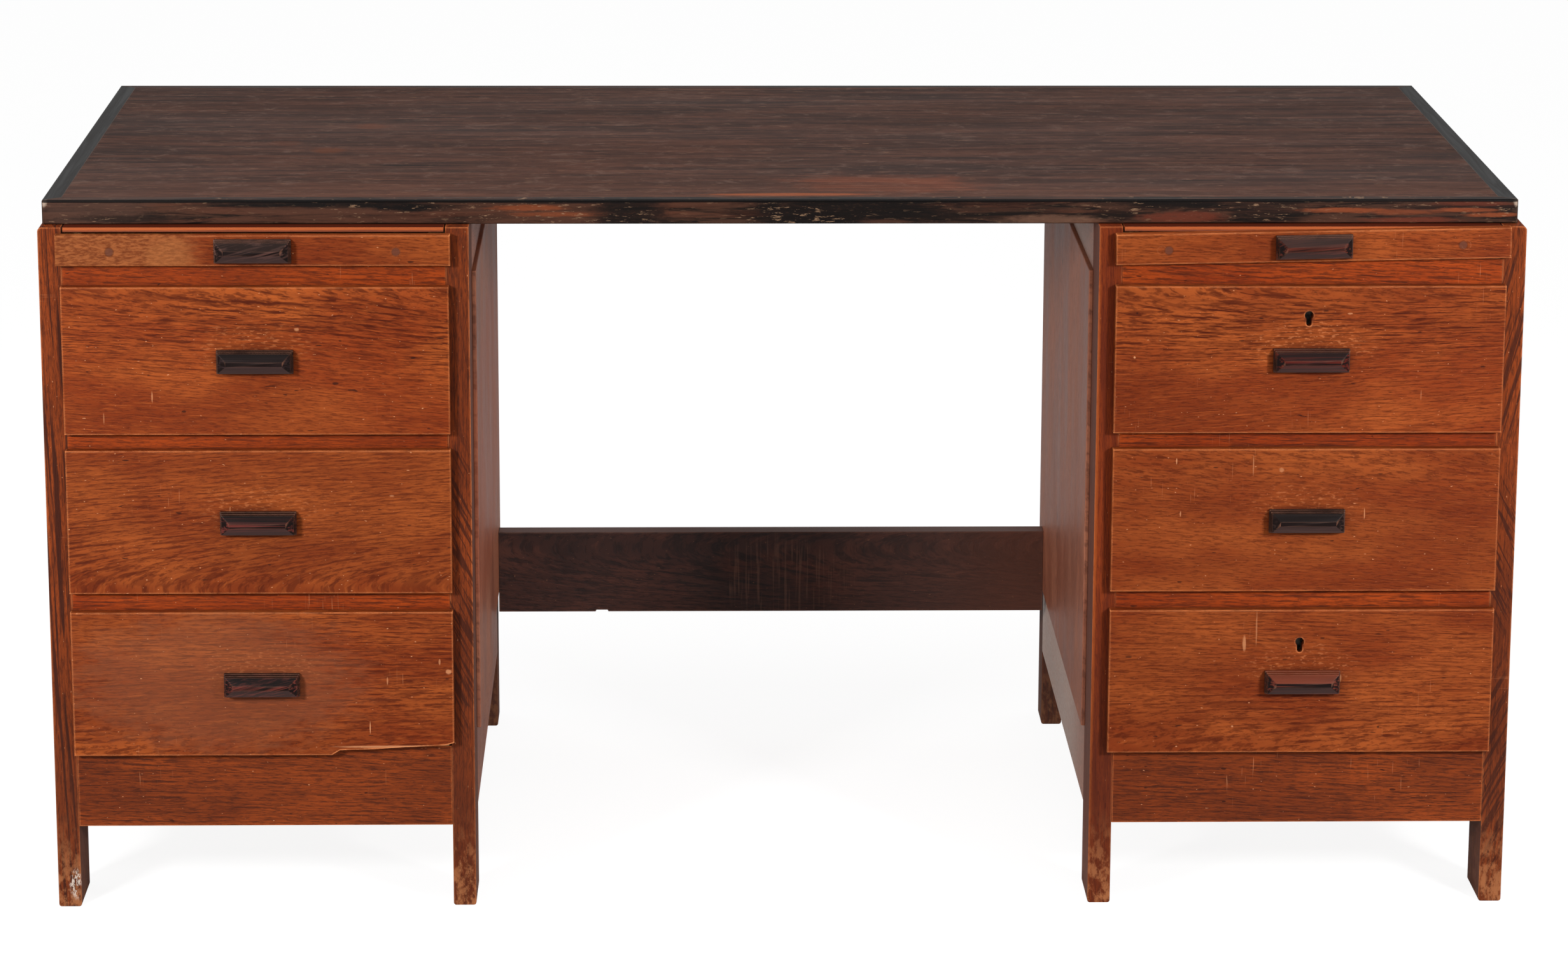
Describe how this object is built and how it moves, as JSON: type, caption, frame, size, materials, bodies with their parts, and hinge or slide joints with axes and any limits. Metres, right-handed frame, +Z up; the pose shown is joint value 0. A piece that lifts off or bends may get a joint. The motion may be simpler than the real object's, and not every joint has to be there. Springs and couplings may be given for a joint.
{
  "type": "pedestal desk",
  "caption": "Double pedestal writing desk with lipped drawers, pull-out writing slides, block handles and a banded overhanging top.",
  "frame": {"origin": "on the floor, under the middle of the desk's bounding box", "axes": "+X to the right along the desk's width, -Y out of the drawer fronts, +Z up"},
  "size_m": [1.6092, 0.8302, 0.79],
  "materials": {
    "front_oak": "worn reddish-brown stained oak with a thin varnish",
    "frame_oak": "darker red-brown stained oak, worn at the arrises",
    "panel_oak": "stained and varnished oak-faced panel, satin",
    "dark_oak": "very dark stained oak",
    "top_veneer": "dark brown veneer, dull and worn",
    "ebony": "near-black striped ebony, satin",
    "inner_wood": "plain unfinished softwood",
    "plywood": "thin plywood, unfinished",
    "lock_steel": "dull steel",
    "bolt_brass": "worn brass"
  },
  "bodies": {
    "carcass": {"top_core": "inner_wood", "top_veneer": "top_veneer", "top_front_lipping": "ebony", "top_back_lipping": "ebony", "top_end_lippings": "ebony", "stretcher": "dark_oak", "left_front_legs": "frame_oak", "left_back_legs": "frame_oak", "left_side_rails": "frame_oak", "left_outer_side_panel": "panel_oak", "left_inner_side_panel": "panel_oak", "left_front_rails": "frame_oak", "left_apron": "frame_oak", "left_back_rails": "frame_oak", "left_back_panel": "panel_oak", "left_runners": "inner_wood", "right_front_legs": "frame_oak", "right_back_legs": "frame_oak", "right_side_rails": "frame_oak", "right_outer_side_panel": "panel_oak", "right_inner_side_panel": "panel_oak", "right_front_rails": "frame_oak", "right_apron": "frame_oak", "right_back_rails": "frame_oak", "right_back_panel": "panel_oak", "right_runners": "inner_wood"},
    "left_slide": {"left_slide_board": "inner_wood", "left_slide_lath": "front_oak", "left_slide_handle": "ebony"},
    "left_drawer_1": {"left_drawer_1_front": "front_oak", "left_drawer_1_box": "inner_wood", "left_drawer_1_bottom": "plywood", "left_drawer_1_handle": "ebony"},
    "left_drawer_2": {"left_drawer_2_front": "front_oak", "left_drawer_2_box": "inner_wood", "left_drawer_2_bottom": "plywood", "left_drawer_2_handle": "ebony"},
    "left_drawer_3": {"left_drawer_3_front": "front_oak", "left_drawer_3_box": "inner_wood", "left_drawer_3_bottom": "plywood", "left_drawer_3_handle": "ebony"},
    "right_slide": {"right_slide_board": "inner_wood", "right_slide_lath": "front_oak", "right_slide_handle": "ebony"},
    "right_drawer_1": {"right_drawer_1_front": "front_oak", "right_drawer_1_box": "inner_wood", "right_drawer_1_bottom": "plywood", "right_drawer_1_handle": "ebony", "lock_1_case": "lock_steel"},
    "right_drawer_2": {"right_drawer_2_front": "front_oak", "right_drawer_2_box": "inner_wood", "right_drawer_2_bottom": "plywood", "right_drawer_2_handle": "ebony"},
    "right_drawer_3": {"right_drawer_3_front": "front_oak", "right_drawer_3_box": "inner_wood", "right_drawer_3_bottom": "plywood", "right_drawer_3_handle": "ebony", "lock_3_case": "lock_steel"},
    "lock_1_bolt": {"lock_1_bolt": "bolt_brass"},
    "lock_3_bolt": {"lock_3_bolt": "bolt_brass"}
  },
  "joints": [
    {"name": "left_slide_pull", "type": "slide", "parent": "carcass", "child": "left_slide", "axis": [0, -1, 0], "range_m": [0, 0.36]},
    {"name": "left_drawer_1_pull", "type": "slide", "parent": "carcass", "child": "left_drawer_1", "axis": [0, -1, 0], "range_m": [0, 0.45]},
    {"name": "left_drawer_2_pull", "type": "slide", "parent": "carcass", "child": "left_drawer_2", "axis": [0, -1, 0], "range_m": [0, 0.45]},
    {"name": "left_drawer_3_pull", "type": "slide", "parent": "carcass", "child": "left_drawer_3", "axis": [0, -1, 0], "range_m": [0, 0.45]},
    {"name": "right_slide_pull", "type": "slide", "parent": "carcass", "child": "right_slide", "axis": [0, -1, 0], "range_m": [0, 0.36]},
    {"name": "right_drawer_1_pull", "type": "slide", "parent": "carcass", "child": "right_drawer_1", "axis": [0, -1, 0], "range_m": [0, 0.45]},
    {"name": "right_drawer_2_pull", "type": "slide", "parent": "carcass", "child": "right_drawer_2", "axis": [0, -1, 0], "range_m": [0, 0.45]},
    {"name": "right_drawer_3_pull", "type": "slide", "parent": "carcass", "child": "right_drawer_3", "axis": [0, -1, 0], "range_m": [0, 0.45]},
    {"name": "lock_1_throw", "type": "slide", "parent": "right_drawer_1", "child": "lock_1_bolt", "axis": [0, 0, 1], "range_m": [0, 0.008]},
    {"name": "lock_3_throw", "type": "slide", "parent": "right_drawer_3", "child": "lock_3_bolt", "axis": [0, 0, 1], "range_m": [0, 0.008]}
  ]
}
